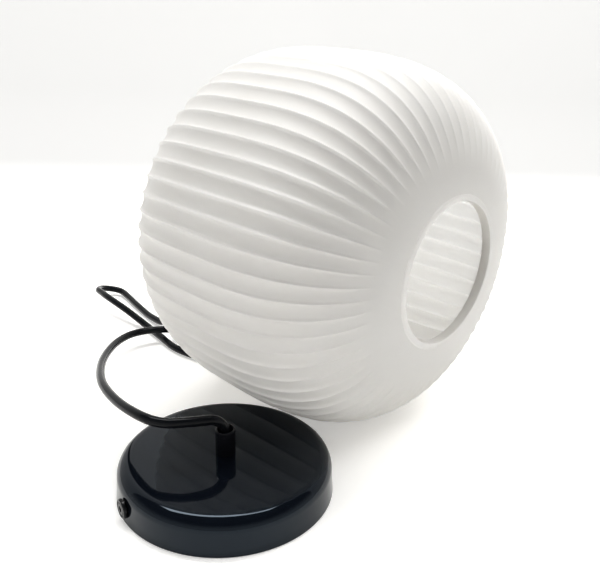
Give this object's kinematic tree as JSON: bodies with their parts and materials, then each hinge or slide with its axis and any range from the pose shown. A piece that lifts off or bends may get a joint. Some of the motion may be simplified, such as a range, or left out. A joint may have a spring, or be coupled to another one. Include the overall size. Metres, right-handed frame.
{
  "type": "pendant lamp",
  "caption": "Pendant lamp with a rounded fluted opal glass shade, a threaded lampholder, a black cord and a round black ceiling canopy, lying loose on a surface.",
  "frame": {"origin": "centre of the canopy's ceiling-side rim, which is also the middle of the two ceiling screw holes", "axes": "+Z from the ceiling side to the cord side of the canopy, +X the way the shade's mouth looks apart from a dip of 1.95 degrees, +Y from the canopy to the shade"},
  "size_m": [0.362, 0.2944, 0.2307],
  "materials": {
    "canopy_black": "gloss black",
    "grip_black": "satin black",
    "cord_black": "satin black",
    "steel": "zinc-plated",
    "brass": "bare",
    "nylon": "natural",
    "porcelain": "glazed white",
    "holder_black": "moulded black",
    "soft_black": "matt black",
    "wire_brown": "satin",
    "wire_blue": "satin",
    "opal_glass": "frosted opal, warm white"
  },
  "bodies": {
    "fixture": {"canopy_cup": "canopy_black", "ceiling_bracket": "steel", "canopy_grip": "grip_black", "grip_washer": "steel", "grip_nut": "steel", "canopy_cord_stop": "nylon", "canopy_stop_screw": "steel", "terminal_block": "nylon", "terminal_tubes": "brass", "terminal_screws": "steel", "block_screw": "steel", "canopy_live_wire": "wire_brown", "canopy_neutral_wire": "wire_blue", "cord": "cord_black", "holder_grip": "grip_black", "holder_cord_stop": "nylon", "holder_stop_screw": "steel", "holder_cap": "holder_black", "holder_skirt": "holder_black", "contact_base": "porcelain", "screw_shell": "brass", "centre_contact": "brass", "side_contact": "brass", "base_screws": "steel", "holder_live_wire": "wire_brown", "holder_neutral_wire": "wire_blue", "upper_gasket": "soft_black"},
    "shade": {"shade": "opal_glass"},
    "ring_washer": {"lower_gasket": "soft_black"},
    "shade_ring": {"shade_ring": "holder_black"},
    "side_screw_front": {"side_screw_front": "canopy_black"},
    "side_screw_rear": {"side_screw_rear": "canopy_black"}
  },
  "joints": [
    {"name": "shade_turn", "type": "hinge", "parent": "fixture", "child": "shade", "pos_m": [-0.044, 0.11784, 0.11545], "axis": [0.9994, 0, -0.034], "continuous": true},
    {"name": "ring_travel", "type": "slide", "parent": "fixture", "child": "ring_washer", "axis": [0.9994, 0, -0.034], "range_m": [0, 0.008]},
    {"name": "ring_turn", "type": "hinge", "parent": "ring_washer", "child": "shade_ring", "pos_m": [-0.11592, 0.11784, 0.11789], "axis": [0.9994, 0, -0.034], "range_deg": [0, 1150]},
    {"name": "side_screw_front_turn", "type": "hinge", "parent": "fixture", "child": "side_screw_front", "pos_m": [-0.01133, -0.05827, 0.008], "axis": [-0.1908, -0.9816, 0], "continuous": true},
    {"name": "side_screw_rear_turn", "type": "hinge", "parent": "fixture", "child": "side_screw_rear", "pos_m": [0.01133, 0.05827, 0.008], "axis": [0.1908, 0.9816, 0], "continuous": true}
  ],
  "couplings": [
    {"joint": "ring_travel", "follows": "ring_turn", "m_per_rad": 0.00039789}
  ]
}
